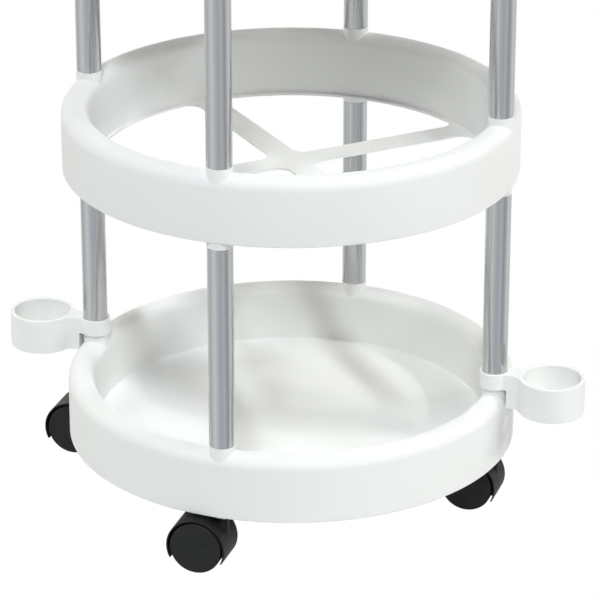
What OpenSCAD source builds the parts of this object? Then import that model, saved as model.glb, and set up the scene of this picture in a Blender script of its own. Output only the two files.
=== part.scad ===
// Round trolley cart on castors: a solid bottom tray, an open middle ring with
// crossed spokes and a solid top tray, carried by four upright tubes, with a
// ring-shaped bottle holder on the left and right lower tubes.
// Millimetres. +Z is up, the origin is on the floor at the centre of the tiers.
// The uprights stand on +X (right), +Y (back), -X (left) and -Y (front).

/* [Tiers] */
// Outside diameter of every tier
tier_d = 345; // [300:5:420]
// Height of every tier's rim
tier_h = 51; // [44:1:70]
// Width of the hollow rim at its crest
rim_w = 20.5; // [20.5:0.5:24]
// Radius of the rounding on both sides of the crest
crest_r = 9; // [7:0.5:10]
// Draft of the inner wall: how much narrower the opening is at the bottom edge
draft = 1.3; // [0:0.1:2]
// Moulded wall thickness
wall = 2.5; // [2:0.1:3]
// Vertical distance from one tier to the next
tier_pitch = 218; // [160:1:320]
// Height of the bottom tier's lower edge above the floor
base_z = 45.3; // [45.3:0.1:60]

/* [Tray floors] */
// Height of a tray's floor above the tier's lower edge
floor_z = 5.5; // [5:0.5:12]
// Radius of the fillet between floor and wall
floor_fillet = 1.5; // [1:0.5:6]

/* [Middle ring] */
// Width of the inward lip at the ring's lower edge
lip_w = 2.8; // [1.5:0.1:6]
// Thickness of the lip and the spokes
lip_t = 1.6; // [1.4:0.1:3]
// Width of each spoke
spoke_w = 21; // [14:1:30]
// Radius of the fillets at the hub and at the rim ends of the spokes
spoke_fillet = 10; // [4:1:14]

/* [Uprights] */
// Outside diameter of the tubes
tube_d = 19; // [18:0.5:19.5]
// Wall thickness of the tubes
tube_t = 1; // [0.8:0.1:1.5]
// How far a boss stands above a crest
boss_up = 5; // [3:0.5:10]
// How far a boss hangs below a tier's lower edge
boss_down = 5.1; // [3:0.1:10]
// Thread diameter of the joining studs and castor stems
stud_d = 8; // [6:1:8]

/* [Holders] */
// Inside diameter of the holder ring
ring_id = 43.8; // [36:0.2:60]
// Wall thickness of the holder ring
ring_t = 3.2; // [2.4:0.1:5]
// Height of the holder ring
ring_h = 27.3; // [20:0.1:40]
// Distance from the tube's axis to the ring's axis
ring_reach = 44.8; // [42:0.1:70]
// Outside diameter of the collar on the tube
collar_d = 23; // [22.5:0.5:26]
// Height of the collar
collar_h = 12.7; // [8:0.1:18]
// Thickness of the neck between collar and ring
neck_w = 15; // [10:0.5:16]

/* [Castors] */
// Wheel diameter
wheel_d = 40; // [36:1:40]
// Overall width across both wheels
caster_w = 31.5; // [30:0.5:36]
// Horizontal distance from the swivel axis to the axle
trail = 16.5; // [14:0.5:18]
// Axle diameter
axle_d = 6; // [5:0.5:6]

/* [Hidden] */
$fn = 96;

white = "white";
steel = "silver";
black = "#1d1e1f";

overrun = 1;                         // how far a cutter passes the face it opens

// Tiers; heights named _z within a tier are above its lower edge
tier_r = tier_d / 2;
edge_r = 1.2;                        // rounding of the outer lower edge
opening_top_r = tier_r - rim_w;      // opening radius where the crest rounding starts
opening_base_r = opening_top_r - draft;
side_h = tier_h - crest_r;           // height where the crest rounding starts
z_bottom = base_z;
z_middle = base_z + tier_pitch;
z_top = base_z + 2 * tier_pitch;

// Ribs
rib_t = 1.8;
rim_rib_z = 4;
rim_rib_w = rim_w - 1;
rim_rib_h = side_h - 2;
floor_rib_z = 0.8;
floor_rib_h = floor_z - wall - floor_rib_z + 0.1; // runs 0.1 into the floor
floor_rib_r = 44;                    // inside radius of the ring rib

// Uprights
right = 0;
back = 90;
left = 180;
front = 270;
post_r = tier_r - rim_w / 2;         // radius the uprights stand on
tube_r = tube_d / 2;
bore_r = tube_r - tube_t;            // inside radius of the tubes
tube_len = tier_pitch - tier_h - boss_up - boss_down;
boss_r = tube_r + 0.2;
boss_top = tier_h + boss_up;
z_lower_tube = z_bottom + boss_top;
z_upper_tube = z_middle + boss_top;

// Studs, plugs and inserts
stud_r = stud_d / 2;
thread_r = stud_r + 0.05;            // hole for a stud in a plug or insert
chamfer = 0.8;                       // at the ends of studs and stems
stud_grip = 20;                      // how far a stud passes a tube's end
top_stud_up = 30;                    // how far a top stud rises above the upper tube
plug_len = 22;
plug_inset = 0.1;                    // from the tube's end
plug_groove_w = 2;
insert_r = 6;
insert_bore_r = insert_r + 0.03;
insert_inset = 0.5;                  // from either end of its bore
insert_groove_w = 3;
groove_depth = 0.8;                  // below the tube's bore or the insert's surface
top_bore_z = 34;                     // closed end of the top tray's bores

// Castors
wheel_r = wheel_d / 2;
axle_r = axle_d / 2;
hood_r = wheel_r + 2.75;
hood_t = 1.1;                        // thickness of the shell over the wheels
hood_skirt = 9.8;                    // how far the shell reaches below the axle
web_w = 11;                          // hood web between the two wheels
side_gap = 0.45;                     // running gap beside each wheel
wheel_w = caster_w / 2 - web_w / 2 - side_gap;
housing_r = stud_r + 0.8;            // sleeve round the castor's stem
housing_top = base_z - 2.5;

// ---------------------------------------------------------------- helpers
// opening radius at height z of a tier
function opening(z) = opening_base_r + draft * z / side_h;

module at_post(angle) translate([post_r * cos(angle), post_r * sin(angle), 0]) children();
module at_posts() for (angle = [right, back, left, front]) at_post(angle) children();

// a cylinder at every upright between two heights
module post_rods(radius, from, to)
    at_posts() translate([0, 0, from]) cylinder(r = radius, h = to - from);

// cylinder with a hole right through it
module sleeve(outer_r, inner_r, height) difference() {
    cylinder(r = outer_r, h = height);
    translate([0, 0, -overrun]) cylinder(r = inner_r, h = height + 2 * overrun);
}

// quarter disc around [x, y], on the side given by the signs x_side and y_side
module quarter(x, y, radius, x_side, y_side) intersection() {
    translate([x, y]) circle(radius);
    translate([x_side > 0 ? x : x - radius, y_side > 0 ? y : y - radius]) square(radius);
}

// half-section of a disc from height 0, with both outer edges rounded
module disc_section(radius, height, edge) {
    square([radius - edge, height]);
    translate([radius - edge, edge]) square([edge, height - 2 * edge]);
    quarter(radius - edge, edge, edge, 1, -1);
    quarter(radius - edge, height - edge, edge, 1, 1);
}

// ring with all four edges rounded
module rounded_ring(inner_r, outer_r, height, edge) rotate_extrude() {
    translate([inner_r + edge, 0]) square([outer_r - inner_r - 2 * edge, height]);
    for (x = [inner_r, outer_r - edge])
        translate([x, edge]) square([edge, height - 2 * edge]);
    for (y_side = [-1, 1]) {
        y = y_side < 0 ? edge : height - edge;
        quarter(inner_r + edge, y, edge, -1, y_side);
        quarter(outer_r - edge, y, edge, 1, y_side);
    }
}

// ---------------------------------------------------------------- rims
// Sections are drawn in radius and height.
// top of a rim section, rounded by radius on both sides
module crest(radius) {
    translate([opening_top_r + crest_r, side_h]) square([rim_w - 2 * crest_r, radius]);
    quarter(tier_r - crest_r, side_h, radius, 1, 1);
    quarter(opening_top_r + crest_r, side_h, radius, -1, 1);
}

module rim_outside() {
    flank_r = tier_r - edge_r;
    polygon([[opening_base_r, 0], [flank_r, 0], [flank_r, edge_r],
             [flank_r, side_h], [opening_top_r, side_h]]);
    translate([flank_r, edge_r]) square([edge_r, side_h - edge_r]);
    quarter(flank_r, edge_r, edge_r, 1, -1);
    crest(crest_r);
}

// channel that opens at the rim's lower edge
module rim_channel() {
    polygon([[opening_base_r + wall, -overrun], [tier_r - wall, -overrun],
             [tier_r - wall, side_h], [opening_top_r + wall, side_h],
             [opening_base_r + wall, 0]]);
    crest(crest_r - wall);
}

// stiffening ribs across the channel, between the uprights
module rim_ribs() intersection() {
    rotate_extrude() translate([opening_top_r, rim_rib_z]) square([rim_rib_w, rim_rib_h]);
    for (i = [0:7]) rotate(22.5 + i * 45)
        translate([opening_top_r, -rib_t / 2, rim_rib_z])
            cube([rim_rib_w, rib_t, rim_rib_h]);
}

module rim() {
    difference() {
        rotate_extrude() rim_outside();
        rotate_extrude() rim_channel();
    }
    rim_ribs();
}

// ---------------------------------------------------------------- tray floors
// fillet between the floor and the drafted wall
module floor_fillet_ring() {
    slope = atan(draft / side_h);
    centre_z = floor_z + floor_fillet;
    centre_x = opening(centre_z) - floor_fillet / cos(slope);
    rotate_extrude() difference() {
        polygon([[centre_x, floor_z], [opening(floor_z), floor_z],
                 [opening(centre_z), centre_z - 0.001],
                 [centre_x + floor_fillet * cos(slope), centre_z - floor_fillet * sin(slope)]]);
        translate([centre_x, centre_z]) circle(floor_fillet);
    }
}

// ribs under the floor: a ring and eight radial ribs
module floor_ribs() {
    rotate_extrude() translate([floor_rib_r, floor_rib_z]) square([rib_t, floor_rib_h]);
    for (i = [0:7]) rotate(i * 45)
        translate([floor_rib_r + rib_t / 2, -rib_t / 2, floor_rib_z])
            cube([opening_base_r - floor_rib_r, rib_t, floor_rib_h]);
}

module tray_floor() {
    rotate_extrude() translate([0, floor_z - wall]) square([opening_base_r + wall / 2, wall]);
    floor_fillet_ring();
    floor_ribs();
}

// ---------------------------------------------------------------- tiers
module bottom_tray() color(white) translate([0, 0, z_bottom]) difference() {
    union() {
        rim();
        tray_floor();
        post_rods(boss_r, 0, boss_top);
    }
    post_rods(insert_bore_r, -overrun, boss_top + overrun);
}

// crossed spokes from above, before turning: one along X, one along Y
module spoke_plan() {
    half_w = spoke_w / 2;
    lip_r = opening_base_r - lip_w;
    // rim-end fillet: its centre, and its touching point on the lip's circle
    centre_y = half_w + spoke_fillet;
    centre_x = sqrt((lip_r - spoke_fillet) * (lip_r - spoke_fillet) - centre_y * centre_y);
    to_lip = lip_r / (lip_r - spoke_fillet);
    touch = [centre_x * to_lip, centre_y * to_lip];
    overlap = 0.5;                     // of the fillets into the spoke
    square([2 * tier_r, spoke_w], center = true);
    square([spoke_w, 2 * tier_r], center = true);
    for (k = [0:3]) rotate(90 * k) {
        difference() {
            translate([half_w - overlap, half_w - overlap]) square(spoke_fillet + overlap);
            translate([centre_y, centre_y]) circle(spoke_fillet);
        }
        for (side = [0, 1]) mirror([0, side]) difference() {
            polygon([[centre_x, half_w - overlap], [lip_r + 1, half_w - overlap],
                     [lip_r + 1, half_w], touch * 1.008, touch, [centre_x, centre_y]]);
            translate([centre_x, centre_y]) circle(spoke_fillet);
        }
    }
}

module spokes() linear_extrude(lip_t) intersection() {
    circle(opening_base_r + wall / 2);
    rotate(45) spoke_plan();
}

module middle_ring() color(white) translate([0, 0, z_middle]) difference() {
    union() {
        rim();
        rotate_extrude() translate([opening_base_r - lip_w, 0])
            square([lip_w + wall / 2, lip_t]);
        spokes();
        post_rods(boss_r, -boss_down, boss_top);
    }
    post_rods(stud_r + 0.2, -boss_down - overrun, boss_top + overrun);
}

module top_tray() color(white) translate([0, 0, z_top]) difference() {
    union() {
        rim();
        tray_floor();
        post_rods(boss_r, -boss_down, side_h);
    }
    post_rods(insert_bore_r, -boss_down - overrun, top_bore_z);
}

// ---------------------------------------------------------------- uprights
module tube(angle, z) color(steel) at_post(angle) translate([0, 0, z])
    sleeve(tube_r, bore_r, tube_len);

// a plug at each end of every tube from height z, with a hole along it
// and a groove round its middle
module plug_pairs(z) color("gray") at_posts()
    for (end_z = [plug_inset, tube_len - plug_len - plug_inset])
        translate([0, 0, z + end_z]) difference() {
            sleeve(bore_r - 0.03, thread_r, plug_len);
            translate([0, 0, (plug_len - plug_groove_w) / 2])
                sleeve(tube_r, bore_r - groove_depth, plug_groove_w);
        }

module studs(z, length) color(steel) at_posts() translate([0, 0, z]) {
    cylinder(r1 = stud_r - chamfer, r2 = stud_r, h = chamfer);
    translate([0, 0, chamfer]) cylinder(r = stud_r, h = length - 2 * chamfer);
    translate([0, 0, length - chamfer])
        cylinder(r1 = stud_r, r2 = stud_r - chamfer, h = chamfer);
}

// threaded inserts, grooved round the middle, in bores from height z
module inserts(z, bore_len) {
    length = bore_len - 2 * insert_inset;
    color(steel) at_posts() translate([0, 0, z + insert_inset]) difference() {
        sleeve(insert_r, thread_r, length);
        translate([0, 0, (length - insert_groove_w) / 2])
            sleeve(insert_r + 1, insert_r - groove_depth, insert_groove_w);
    }
}

// ---------------------------------------------------------------- holders
// Built with the collar's foot at the origin and the ring on +X.
holder_ring_r = ring_id / 2 + ring_t;

// neck seen from above, with a fillet on each side where it meets the ring
module neck_plan() {
    half_w = neck_w / 2;
    fillet = 9;
    centre_r = holder_ring_r + fillet;  // from the ring's axis to a fillet's centre
    centre_y = half_w + fillet;
    centre_x = ring_reach - sqrt(centre_r * centre_r - centre_y * centre_y);
    to_ring = holder_ring_r / centre_r;
    touch_x = ring_reach - (ring_reach - centre_x) * to_ring;
    touch_y = centre_y * to_ring;
    difference() {
        polygon([[0, -half_w], [centre_x, -half_w], [touch_x, -touch_y],
                 [ring_reach - holder_ring_r * 0.8, 0],
                 [touch_x, touch_y], [centre_x, half_w], [0, half_w]]);
        for (side = [1, -1]) translate([centre_x, side * centre_y]) circle(fillet);
    }
}

module holder_body() {
    ring_z = collar_h - ring_h;        // ring and collar are level at the top
    neck_inset = 0.3;                  // from the ring's upper and lower faces
    clear_x = tier_r - post_r + 1;     // the neck clears the tray's outer wall
    translate([ring_reach, 0, ring_z])
        rounded_ring(ring_id / 2, holder_ring_r, ring_h, 0.6);
    rounded_ring(tube_r + 0.08, collar_d / 2, collar_h, 0.4);
    difference() {
        translate([0, 0, ring_z + neck_inset])
            linear_extrude(ring_h - 2 * neck_inset) neck_plan();
        // room for the tube, for the boss and rim under the collar, and for the ring's hole
        translate([0, 0, -50]) cylinder(r = tube_r + 0.6, h = 100);
        translate([clear_x - 60, -20, -40]) cube([60, 40, 40]);
        translate([ring_reach, 0, -50]) cylinder(r = ring_id / 2 + 0.6, h = 100);
    }
}

// holder pointing outwards, just above the bottom tray's boss
module holder(angle) color(white) at_post(angle)
    translate([0, 0, z_lower_tube + 0.05]) rotate(angle) holder_body();

// ---------------------------------------------------------------- castors
// All castors are built around their swivel axis, trailing towards -X.
// moves to the axle, with the children's +Z turned to -Y
module along_axle() translate([-trail, 0, wheel_r]) rotate([90, 0, 0]) children();

// plain lower stem, hexagonal collar and chamfered upper stem
module caster_stem(angle) color(steel) at_post(angle) {
    upper_z = housing_top + 2;
    upper_h = 24;
    translate([0, 0, base_z - 20]) cylinder(r = stud_r, h = 18);
    translate([0, 0, housing_top + 0.3]) cylinder(r = 7.2, h = 2.1, $fn = 6);
    translate([0, 0, upper_z]) cylinder(r = stud_r, h = upper_h);
    translate([0, 0, upper_z + upper_h])
        cylinder(r1 = stud_r, r2 = stud_r - chamfer, h = chamfer);
}

// drum over the wheels, cut off below the skirt
module hood_shell() intersection() {
    along_axle() rotate_extrude() translate([0, -caster_w / 2])
        disc_section(hood_r, caster_w, 0.5);
    translate([-trail - 40, -30, wheel_r - hood_skirt]) cube([80, 60, 80]);
}

module caster_hood(angle) color(black) at_post(angle) difference() {
    union() {
        hood_shell();
        translate([0, 0, wheel_r]) cylinder(r = housing_r, h = housing_top - wheel_r);
    }
    // wheel wells on both sides of the web
    for (side = [-1, 1]) along_axle() translate([0, 0, side * (web_w + caster_w) / 2])
        cylinder(r = hood_r - hood_t, h = caster_w, center = true);
    // lower part of the web is cut away in an arch
    along_axle() translate([0, -hood_r, 0])
        cylinder(r = hood_r / 1.6, h = web_w + 2 * overrun, center = true);
    // stem and axle holes
    translate([0, 0, base_z - 20.3]) cylinder(r = stud_r + 0.06, h = 30);
    along_axle() cylinder(r = axle_r + 0.02, h = web_w + 2 * overrun, center = true);
}

module caster_axle(angle) color(steel) at_post(angle) along_axle()
    cylinder(r = axle_r, h = caster_w - 4, center = true);

// half-section of a wheel: its outer face at height wheel_w, open towards 0
module wheel_section() {
    hub_r = axle_r + 2.6;
    tread_r = wheel_r - 3.2;           // inside radius of the tread
    cap_t = 1.8;                       // face thickness over the axle's end
    face_t = 2.6;                      // face thickness between hub and tread
    difference() {
        disc_section(wheel_r, wheel_w, 1.2);
        translate([-overrun, -overrun])
            square([axle_r + 0.05 + overrun, wheel_w - cap_t + overrun]);
        translate([hub_r, -overrun]) square([tread_r - hub_r, wheel_w - face_t + overrun]);
    }
}

// side 1 is the wheel on -Y, side -1 the wheel on +Y
module caster_wheel(angle, side) color(black) at_post(angle) along_axle()
    mirror([0, 0, side < 0 ? 1 : 0]) translate([0, 0, web_w / 2 + side_gap])
        rotate_extrude() wheel_section();

bottom_tray();
middle_ring();
top_tray();
tube(right, z_lower_tube);  // lower_tube_right
tube(back, z_lower_tube);  // lower_tube_back
tube(left, z_lower_tube);  // lower_tube_left
tube(front, z_lower_tube);  // lower_tube_front
tube(right, z_upper_tube);  // upper_tube_right
tube(back, z_upper_tube);  // upper_tube_back
tube(left, z_upper_tube);  // upper_tube_left
tube(front, z_upper_tube);  // upper_tube_front
plug_pairs(z_lower_tube);  // lower_tube_plugs
plug_pairs(z_upper_tube);  // upper_tube_plugs
inserts(z_bottom, boss_top);  // bottom_inserts
inserts(z_top - boss_down, boss_down + top_bore_z);  // top_inserts
studs(z_lower_tube - stud_grip, 2 * stud_grip);  // bottom_studs
studs(z_middle - boss_down - stud_grip, boss_top + boss_down + 2 * stud_grip);  // joining_studs
studs(z_top - boss_down - stud_grip, stud_grip + top_stud_up);  // top_studs
holder(right);  // holder_right
holder(left);  // holder_left
caster_stem(right);  // caster_right_stem
caster_stem(back);  // caster_back_stem
caster_stem(left);  // caster_left_stem
caster_stem(front);  // caster_front_stem
caster_hood(right);  // caster_right_hood
caster_hood(back);  // caster_back_hood
caster_hood(left);  // caster_left_hood
caster_hood(front);  // caster_front_hood
caster_axle(right);  // caster_right_axle
caster_axle(back);  // caster_back_axle
caster_axle(left);  // caster_left_axle
caster_axle(front);  // caster_front_axle
caster_wheel(right, 1);  // caster_right_wheel_a
caster_wheel(right, -1);  // caster_right_wheel_b
caster_wheel(back, 1);  // caster_back_wheel_a
caster_wheel(back, -1);  // caster_back_wheel_b
caster_wheel(left, 1);  // caster_left_wheel_a
caster_wheel(left, -1);  // caster_left_wheel_b
caster_wheel(front, 1);  // caster_front_wheel_a
caster_wheel(front, -1);  // caster_front_wheel_b
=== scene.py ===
import math

import bpy
import bmesh
from mathutils import Matrix, Vector


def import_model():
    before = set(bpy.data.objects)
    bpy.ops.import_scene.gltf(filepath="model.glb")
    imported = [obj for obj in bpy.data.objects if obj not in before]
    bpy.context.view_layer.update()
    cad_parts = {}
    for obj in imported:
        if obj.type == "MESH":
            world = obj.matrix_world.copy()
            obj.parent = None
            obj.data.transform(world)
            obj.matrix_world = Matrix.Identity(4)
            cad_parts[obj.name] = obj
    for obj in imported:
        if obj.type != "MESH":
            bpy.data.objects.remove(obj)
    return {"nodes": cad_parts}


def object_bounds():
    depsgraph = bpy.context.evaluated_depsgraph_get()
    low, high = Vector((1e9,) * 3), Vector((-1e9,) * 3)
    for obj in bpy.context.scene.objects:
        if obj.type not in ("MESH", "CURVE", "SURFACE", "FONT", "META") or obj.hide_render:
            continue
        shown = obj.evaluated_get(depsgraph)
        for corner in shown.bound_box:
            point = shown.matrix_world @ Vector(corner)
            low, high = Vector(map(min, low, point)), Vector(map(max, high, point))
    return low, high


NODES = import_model()["nodes"]
CAD_BOX = [[float(v) for v in corner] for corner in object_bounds()]

FLOOR_HALF = 6.0          # half the side of the square floor
FLOOR_GAP = 0.0002        # from the lowest point of the product down to the floor
LAMP_TARGET = Vector((0.0, 0.0, 0.17))  # the point the near lamps stand round

# Names of the pieces on the upper tier start with these: the middle ring and everything on it.
UPPER = ("middle_", "upper_", "top_", "joining_")


# ---------------------------------------------------------------- shader graphs
class Graph:
    """The cleared node tree of a material or a world, with short ways to add nodes.

    An input may be given as a plain value or as the output socket that feeds it.
    """

    def __init__(self, owner):
        owner.use_nodes = True
        self.tree = owner.node_tree
        self.tree.nodes.clear()

    def node(self, kind, inputs, **settings):
        """Add a node, set its properties and fill its inputs; None leaves an input alone."""
        node = self.tree.nodes.new("ShaderNode" + kind)
        for key, value in settings.items():
            setattr(node, key, value)
        for key, value in inputs.items():
            socket = node.inputs[key]
            if hasattr(value, "links"):
                self.tree.links.new(value, socket)
            elif value is not None:
                # Colours are written as RGB; their sockets also want alpha.
                socket.default_value = (*value, 1.0) if socket.type == "RGBA" else value
        return node

    def span(self, value, source=(0.3, 0.7), target=(0.0, 1.0)):
        """Map the source range to the target range, clamped. Most noise lies in 0.3 to 0.7."""
        return self.node("MapRange", {
            "Value": value,
            "From Min": source[0], "From Max": source[1],
            "To Min": target[0], "To Max": target[1],
        }).outputs["Result"]

    def math(self, operation, first, second, clamp=False):
        inputs = {0: first, 1: second}
        return self.node("Math", inputs, operation=operation, use_clamp=clamp).outputs["Value"]

    def emission(self, colour):
        return self.node("Emission", {"Color": colour, "Strength": 1.0}).outputs["Emission"]

    def background(self, colour, strength):
        inputs = {"Color": colour, "Strength": strength}
        return self.node("Background", inputs).outputs[0]

    def choose(self, ray, otherwise, chosen):
        """The chosen shader for rays of one kind, such as "Is Camera Ray", else the other."""
        is_ray = self.node("LightPath", {}).outputs[ray]
        return self.node("MixShader", {0: is_ray, 1: otherwise, 2: chosen}).outputs[0]


class Look(Graph):
    """The material of a piece, textured in object coordinates."""

    def __init__(self, name):
        self.material = bpy.data.materials.new(name)
        super().__init__(self.material)
        self.coord = self.node("TexCoord", {}).outputs["Object"]

    def surface(self, inputs):
        """Close the graph with a Principled shader and return the material."""
        shader = self.node("BsdfPrincipled", inputs).outputs["BSDF"]
        self.node("OutputMaterial", {"Surface": shader})
        return self.material

    def stretched(self, scale):
        mapping = self.node("Mapping", {"Scale": scale, "Vector": self.coord})
        return mapping.outputs["Vector"]

    def noise(self, scale, detail, rough, vector=None):
        return self.node("TexNoise", {
            "Scale": scale, "Detail": detail, "Roughness": rough,
            "Vector": vector or self.coord,
        }).outputs["Fac"]

    def cells(self, scale):
        inputs = {"Scale": scale, "Vector": self.coord}
        return self.node("TexVoronoi", inputs).outputs["Distance"]

    def mix(self, amount, base, over):
        inputs = {0: amount, 6: base, 7: over}
        return self.node("Mix", inputs, data_type="RGBA", blend_type="MIX").outputs[2]

    def rounded(self, radius):
        """The surface normal with edges rounded to a radius."""
        return self.node("Bevel", {"Radius": radius}, samples=4).outputs["Normal"]

    def edges(self, rounded, gain):
        """0 on open faces, towards 1 along edges and corners."""
        normal = self.node("NewGeometry", {}).outputs["Normal"]
        facing = self.node("VectorMath", {0: rounded, 1: normal}, operation="DOT_PRODUCT")
        bend = self.math("SUBTRACT", 1.0, facing.outputs["Value"])
        return self.math("MULTIPLY", bend, gain, clamp=True)

    def bump(self, height, distance, strength, base=None):
        return self.node("Bump", {
            "Distance": distance, "Strength": strength, "Height": height, "Normal": base,
        }).outputs["Normal"]


# ---------------------------------------------------------------- materials
def moulded_white(name, tint, rough, bevel):
    """Satin white moulding: faint flow marks, a fine spark texture and slightly polished edges."""
    look = Look(name)
    edge = look.edges(look.rounded(bevel), gain=3.0)
    cloud = look.noise(scale=9.0, detail=3.0, rough=0.6)
    fine = look.noise(scale=520.0, detail=3.0, rough=0.7)
    flow = look.noise(scale=26.0, detail=2.0, rough=0.5)

    warm = tuple(c * k for c, k in zip(tint, (0.992, 0.986, 0.974)))
    colour = look.mix(look.span(cloud, source=(0.35, 0.7)), base=tint, over=warm)
    specks = look.span(fine, source=(0.60, 0.80), target=(0.0, 0.04))
    colour = look.mix(specks, base=colour, over=(0.60, 0.60, 0.58))

    roughness = look.math(
        "ADD",
        look.span(cloud, target=(rough - 0.03, rough + 0.04)),
        look.span(fine, target=(-0.03, 0.03)),
    )
    polish = look.math("MULTIPLY", edge, 0.06)
    normal = look.bump(flow, distance=0.0012, strength=0.06)
    return look.surface({
        "Base Color": colour,
        "Roughness": look.math("SUBTRACT", roughness, polish),
        "IOR": 1.45,
        "Specular IOR Level": 0.18,
        "Normal": look.bump(fine, distance=0.00010, strength=0.14, base=normal),
    })


def satin_aluminium(name):
    """Drawn and anodised tube: very fine lines along local Z and soft clouding."""
    look = Look(name)
    lines = look.stretched((4200.0, 4200.0, 20.0))
    streak = look.noise(scale=1.0, detail=3.0, rough=0.6, vector=lines)
    bands = look.stretched((260.0, 260.0, 3.0))
    band = look.noise(scale=1.0, detail=2.0, rough=0.5, vector=bands)
    cloud = look.noise(scale=16.0, detail=3.0, rough=0.6)

    colour = look.mix(look.span(band), base=(0.492, 0.498, 0.503), over=(0.510, 0.515, 0.519))
    darkening = look.span(streak, source=(0.35, 0.75), target=(0.0, 0.08))
    normal = look.bump(streak, distance=0.00001, strength=0.05, base=look.rounded(0.0004))
    return look.surface({
        "Base Color": look.mix(darkening, base=colour, over=(0.440, 0.448, 0.456)),
        "Metallic": 1.0,
        "Roughness": look.math(
            "ADD",
            look.span(streak, target=(0.155, 0.180)),
            look.span(cloud, target=(-0.010, 0.010)),
        ),
        "Normal": look.bump(cloud, distance=0.0003, strength=0.015, base=normal),
    })


def moulded_black(name, tint, rough, bevel, shine):
    """Black moulding with a fine grain, lighter clouds and rubbed edges."""
    look = Look(name)
    rounded = look.rounded(bevel)
    edge = look.edges(rounded, gain=2.2)
    cloud = look.noise(scale=45.0, detail=3.0, rough=0.6)
    grain = look.noise(scale=900.0, detail=3.0, rough=0.7)

    lighter = tuple(min(1.0, c * 1.9 + 0.006) for c in tint)
    clouding = look.span(cloud, source=(0.4, 0.75), target=(0.0, 0.5))
    colour = look.mix(clouding, base=tint, over=lighter)
    patchy = look.span(grain, source=(0.35, 0.65), target=(0.25, 0.8))
    worn = look.math("MULTIPLY", look.math("MULTIPLY", edge, patchy), 0.55)
    normal = look.bump(cloud, distance=0.0004, strength=0.04, base=rounded)
    return look.surface({
        "Base Color": look.mix(worn, base=colour, over=(0.085, 0.085, 0.088)),
        "Roughness": look.math(
            "ADD",
            look.span(cloud, target=(rough - 0.05, rough + 0.06)),
            look.span(grain, target=(-0.05, 0.05)),
        ),
        "IOR": 1.5,
        "Specular IOR Level": shine,
        "Normal": look.bump(grain, distance=0.00010, strength=0.22, base=normal),
    })


def zinc(name):
    """Zinc-plated steel: clouded, spangled plating with a fine grain and bright edges."""
    look = Look(name)
    rounded = look.rounded(0.0003)
    edge = look.edges(rounded, gain=2.5)
    cloud = look.noise(scale=120.0, detail=3.0, rough=0.6)
    spangle = look.cells(scale=500.0)
    fine = look.noise(scale=1500.0, detail=2.0, rough=0.6)

    clouding = look.span(cloud, source=(0.35, 0.7))
    colour = look.mix(clouding, base=(0.600, 0.605, 0.600), over=(0.700, 0.700, 0.680))
    shine = look.math("MULTIPLY", edge, 0.5)
    return look.surface({
        "Base Color": look.mix(shine, base=colour, over=(0.78, 0.78, 0.76)),
        "Metallic": 1.0,
        "Roughness": look.math(
            "ADD",
            look.span(spangle, source=(0.0, 0.8), target=(0.24, 0.36)),
            look.span(fine, target=(-0.03, 0.03)),
        ),
        "Normal": look.bump(fine, distance=0.00008, strength=0.25, base=rounded),
    })


def moulded_grey(name):
    """Grey nylon of the plugs inside the tubes."""
    look = Look(name)
    cloud = look.noise(scale=60.0, detail=3.0, rough=0.6)
    fine = look.noise(scale=1200.0, detail=2.0, rough=0.6)
    clouding = look.span(cloud, source=(0.35, 0.7))
    rounded = look.rounded(0.0003)
    return look.surface({
        "Base Color": look.mix(clouding, base=(0.270, 0.275, 0.280), over=(0.330, 0.330, 0.330)),
        "Roughness": look.span(fine, target=(0.42, 0.56)),
        "Normal": look.bump(fine, distance=0.00010, strength=0.3, base=rounded),
    })


# CAD material name: the material that takes its place.
FINISH = {
    "white_plastic": moulded_white(
        "white_plastic_look", tint=(0.860, 0.864, 0.862), rough=0.56, bevel=0.0008),
    "holder_plastic": moulded_white(
        "holder_plastic_look", tint=(0.880, 0.883, 0.878), rough=0.52, bevel=0.0006),
    "tube_aluminium": satin_aluminium("tube_aluminium_look"),
    "grey_plastic": moulded_grey("grey_plastic_look"),
    "zinc_steel": zinc("zinc_steel_look"),
    "black_plastic": moulded_black(
        "black_plastic_look", tint=(0.0105, 0.0107, 0.0112), rough=0.56, bevel=0.0006, shine=0.16),
    "wheel_nylon": moulded_black(
        "wheel_nylon_look", tint=(0.0105, 0.0107, 0.0115), rough=0.58, bevel=0.0008, shine=0.22),
}

for node in NODES.values():
    for i, slot in enumerate(node.material_slots):
        cad_name = slot.material.name.split(".")[0]
        slot.link = "DATA"
        node.data.materials[i] = FINISH[cad_name]


# ---------------------------------------------------------------- studio seen in reflections
# RGB a shiny surface sees round the studio, every 15 degrees of compass direction
# from -180 up to 165, measured from +X towards +Y.
STUDIO = [
    (0.676, 0.718, 0.698), (0.761, 0.800, 0.785), (0.890, 0.925, 0.920),  # -180
    (0.985, 1.022, 1.033), (0.973, 1.006, 1.024), (0.829, 0.858, 0.880),  # -135
    (0.726, 0.753, 0.782), (0.661, 0.687, 0.720), (0.659, 0.692, 0.725),  # -90
    (0.778, 0.810, 0.847), (0.634, 0.654, 0.678), (0.495, 0.513, 0.531),  # -45
    (0.643, 0.667, 0.686), (0.916, 0.945, 0.959), (0.997, 1.024, 1.021),  # 0
    (0.964, 1.010, 0.986), (0.947, 0.958, 0.951), (0.829, 0.839, 0.832),  # 45
    (0.710, 0.719, 0.713), (0.651, 0.659, 0.654), (0.750, 0.759, 0.753),  # 90
    (0.927, 0.938, 0.931), (0.986, 0.998, 0.990), (0.809, 0.819, 0.812),  # 135
]


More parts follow.
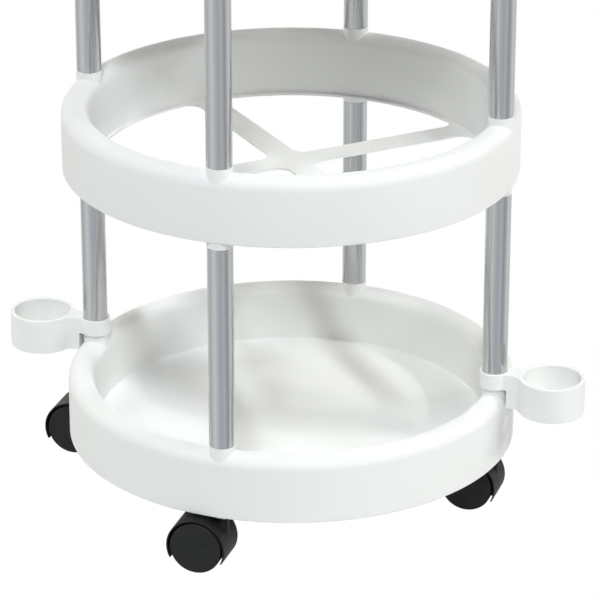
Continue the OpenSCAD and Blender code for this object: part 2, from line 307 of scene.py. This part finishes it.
def studio_tone(graph, direction):
    """Colour of the studio in a direction, and the direction's Z."""
    split = graph.node("SeparateXYZ", {0: direction}).outputs
    azimuth = graph.math("ARCTAN2", split["Y"], split["X"])
    turn = graph.span(azimuth, source=(-math.pi, math.pi))
    ramp = graph.node("ValToRGB", {"Fac": turn})
    stops = STUDIO + STUDIO[:1]
    elements = ramp.color_ramp.elements
    while len(elements) < len(stops):
        elements.new(0.5)
    for i, rgb in enumerate(stops):
        elements[i].position = i / len(STUDIO)
        elements[i].color = (*rgb, 1.0)
    return ramp.outputs["Color"], split["Z"]


# ---------------------------------------------------------------- floor and world
def floor_material():
    """Matt grey to diffuse light, white to the camera; to reflections it glows with the studio
    colours, a painted reflection.
    """
    material = bpy.data.materials.new("floor_look")
    graph = Graph(material)
    matt = graph.node("BsdfPrincipled", {
        "Base Color": (0.80, 0.80, 0.80), "Roughness": 0.9, "Specular IOR Level": 0.0,
    }).outputs["BSDF"]
    # Incoming points back along the ray; the studio is looked up along the ray itself.
    incoming = graph.node("NewGeometry", {}).outputs["Incoming"]
    along = graph.node("VectorMath", {0: incoming, "Scale": -1.0}, operation="SCALE")
    tone, _ = studio_tone(graph, along.outputs["Vector"])
    # Painted reflection: glossy rays see the floor glow with the studio colours.
    shader = graph.choose("Is Glossy Ray", otherwise=matt, chosen=graph.emission(tone))
    white = graph.emission((1.0, 1.0, 1.0))
    shader = graph.choose("Is Camera Ray", otherwise=shader, chosen=white)
    graph.node("OutputMaterial", {"Surface": shader})
    material.cycles.emission_sampling = "NONE"
    return material


def make_floor():
    grid = bmesh.new()
    bmesh.ops.create_grid(grid, x_segments=8, y_segments=8, size=FLOOR_HALF)
    mesh = bpy.data.meshes.new("floor")
    grid.to_mesh(mesh)
    grid.free()
    sheet = bpy.data.objects.new("floor", mesh)
    bpy.context.scene.collection.objects.link(sheet)
    sheet.location = (0.0, 0.0, CAD_BOX[0][2] - FLOOR_GAP)
    mesh.materials.append(floor_material())
    return sheet


def make_world():
    """White to the camera, the studio colours to reflections, black to everything else."""
    world = bpy.data.worlds.new("studio")
    world.cycles.sampling_method = "NONE"
    graph = Graph(world)
    direction = graph.node("TexCoord", {}).outputs["Generated"]
    tone, height = studio_tone(graph, direction)
    # The studio dims from the horizon upwards.
    fade = graph.span(height, source=(0.0, 0.7), target=(1.0, 0.6))
    shader = graph.choose(
        "Is Glossy Ray",
        otherwise=graph.background(None, strength=0.0),
        chosen=graph.background(tone, strength=fade),
    )
    white = graph.background((1.0, 1.0, 1.0), strength=1.0)
    shader = graph.choose("Is Camera Ray", otherwise=shader, chosen=white)
    graph.node("OutputWorld", {"Surface": shader})
    return world


floor = make_floor()
scene = bpy.context.scene
scene.view_settings.view_transform = "Standard"
scene.world = make_world()


# ---------------------------------------------------------------- lamps
BOX_COLOURS = {
    "front": (0.934, 0.985, 1.000),
    "right": (0.998, 1.000, 0.958),
    "left": (1.000, 0.985, 0.900),
    "rear": (1.000, 0.990, 0.985),
    "fill": (1.000, 1.000, 1.000),
}

# Soft boxes and fills, each a fan of lamps. Columns: compass direction from +X towards +Y,
# height and spread (degrees), strength, distance (m; 0 is a distant lamp). Near lamps meet
# the two tiers at different heights, so each tier has its own set.
BOXES = {
    "upper": {
        "front": [
            (-91, 54, 3.2, 0.607, 1.2), (-91, 62, 3.2, 0.089, 1.2), (-87, 54, 3.2, 0.060, 1.2),
            (-83, 50, 3.2, 0.275, 1.2), (-80, 45, 2.0, 0.038, 0), (-79, 46, 3.2, 0.178, 1.2),
            (-75, 43, 2.0, 0.139, 0), (-75, 50, 3.2, 0.039, 1.2), (-74, 39, 3.2, 0.293, 0),
            (-71, 50, 3.2, 0.188, 1.2),
        ],
        "right": [
            (-11, 33, 1.6, 0.089, 0), (-5, 33, 1.6, 0.067, 0), (-3, 33, 1.6, 0.154, 0),
            (2, 38, 3.2, 0.070, 2), (10, 50, 3.2, 0.087, 2), (14, 50, 3.2, 0.128, 2),
            (18, 24, 3.2, 0.176, 0), (22, 46, 3.2, 0.133, 2), (26, 30, 3.2, 0.080, 2),
            (26, 50, 3.2, 0.339, 2),
        ],
        "left": [
            (158, 45, 4.4, 0.289, 2), (164, 45, 4.4, 0.123, 2), (164, 50, 4.4, 0.065, 2),
            (170, 40, 4.4, 0.110, 2),
        ],
        "rear": [
            (-180, -4, 24, 1.298, 0), (0, -4, 24, 0.833, 0), (30, -4, 24, 0.374, 0),
            (30, 8, 14, 0.142, 0), (60, -4, 24, 0.276, 0), (90, -4, 24, 0.686, 0),
            (120, -4, 24, 0.139, 0), (120, 8, 14, 0.185, 0), (150, -4, 24, 0.403, 0),
        ],
        "fill": [(105, 28, 14, 0.054, 0), (140, 72, 14, 0.083, 0)],
    },
    "lower": {
        "front": [
            (-91, 50, 3.2, 0.037, 1.2), (-91, 54, 3.2, 0.143, 1.2), (-86, 60, 3.2, 0.109, 0),
            (-85, 57, 2.0, 0.082, 0), (-83, 46, 3.2, 0.071, 1.2), (-82.5, 57, 2.0, 0.251, 0),
            (-80, 53, 2.0, 0.069, 0), (-80, 54, 3.2, 0.132, 0), (-80, 55, 2.0, 0.102, 0),
            (-77.5, 49, 2.0, 0.026, 0), (-77.5, 51, 2.0, 0.236, 0), (-77, 51, 3.2, 0.083, 0),
            (-75, 47, 2.0, 0.156, 0), (-75, 49, 2.0, 0.131, 0), (-72.5, 43, 2.0, 0.253, 0),
            (-72.5, 45, 2.0, 0.208, 0),
        ],
        "right": [
            (-18, 50, 3.2, 0.073, 2), (-15, 33, 3.2, 0.111, 0), (-14, 34, 3.2, 0.058, 2),
            (-13, 34.5, 1.6, 0.061, 0), (-9, 37.5, 1.6, 0.119, 0), (-7, 39, 1.6, 0.089, 0),
            (-6, 50, 3.2, 0.125, 2), (-3, 40.5, 1.6, 0.154, 0), (1, 40.5, 1.6, 0.162, 0),
            (3, 42, 3.2, 0.036, 0), (6, 24, 3.2, 0.084, 0), (6, 42, 3.2, 0.063, 2),
            (9, 24, 3.2, 0.045, 0), (14, 22, 3.2, 0.153, 2), (18, 22, 3.2, 0.189, 2),
            (18, 50, 3.2, 0.122, 2), (26, 46, 3.2, 0.049, 2),
        ],
        "left": [
            (158, 20, 4.4, 0.186, 2), (164, 20, 4.4, 0.047, 2), (164, 25, 4.4, 0.101, 2),
            (170, 50, 4.4, 0.083, 2), (176, 25, 4.4, 0.045, 2), (176, 40, 4.4, 0.087, 2),
            (176, 45, 4.4, 0.066, 2), (182, 20, 4.4, 0.040, 2), (182, 35, 4.4, 0.084, 2),
            (188, 20, 4.4, 0.072, 2), (188, 50, 4.4, 0.071, 2), (192, 22, 4.2, 0.065, 0),
            (194, 20, 4.4, 0.125, 2), (194, 40, 4.4, 0.097, 2),
        ],
        "rear": [
            (90, -4, 24, 1.652, 0), (120, -4, 24, 0.096, 0), (120, 8, 14, 0.189, 0),
            (150, 8, 14, 0.039, 0),
        ],
        "fill": [(-144, 50, 14, 0.160, 0), (75, 28, 14, 0.254, 0), (108, 50, 14, 0.072, 0)],
    },
}


def lamp(name, row, colour, lit):
    """One lamp from a row of BOXES, lighting only the pieces in lit."""
    azimuth, elevation, spread, strength, distance = row
    data = bpy.data.lights.new(name, "POINT" if distance else "SUN")
    if distance:
        data.energy = 4.0 * math.pi * distance ** 2 * strength
        data.shadow_soft_size = distance * math.tan(math.radians(spread / 2.0))
    else:
        data.energy = strength
        data.angle = math.radians(spread)
    data.color = colour
    light = bpy.data.objects.new(name, data)
    scene.collection.objects.link(light)
    turn, rise = math.radians(azimuth), math.radians(elevation)
    direction = Vector((
        math.cos(rise) * math.cos(turn),
        math.cos(rise) * math.sin(turn),
        math.sin(rise),
    ))
    light.location = LAMP_TARGET + direction * distance
    light.rotation_mode = "QUATERNION"
    light.rotation_quaternion = direction.to_track_quat("Z", "Y")
    light.light_linking.receiver_collection = lit


for tier, boxes in BOXES.items():
    lit = bpy.data.collections.new("lit_by_" + tier)
    for name, node in NODES.items():
        if name.startswith(UPPER) == (tier == "upper"):
            lit.objects.link(node)
    if tier == "lower":
        lit.objects.link(floor)
    for box, rows in boxes.items():
        for number, row in enumerate(rows, start=1):
            lamp("%s_%s_%02d" % (tier, box, number), row, BOX_COLOURS[box], lit)


# ---------------------------------------------------------------- camera
# In front, to the right and above, looking down at the product through a long lens.
CAMERA_PLACE = (0.755632, -2.282832, 1.181930)
CAMERA_LOOK = Vector((-0.28623075, 0.87314531, -0.39457473))
CAMERA_SIDE = Vector((0.95024449, 0.31150507, 0.0))
CAMERA_UP = Vector((-0.12291203, 0.37494246, 0.91886385))
LENS_SHIFT = 0.000833333333  # as a share of the frame width

camera_data = bpy.data.cameras.new("camera")
camera_data.sensor_width = 36.0
camera_data.lens = 204.47196
camera_data.shift_x = -LENS_SHIFT
camera_data.shift_y = LENS_SHIFT
camera_data.clip_end = 50.0
camera = bpy.data.objects.new("camera", camera_data)
scene.collection.objects.link(camera)
# The camera's own X, Y and Z axes are the columns; it looks along its -Z.
pose = Matrix((CAMERA_SIDE, CAMERA_UP, -CAMERA_LOOK)).transposed().to_4x4()
pose.translation = CAMERA_PLACE
camera.matrix_world = pose
scene.camera = camera
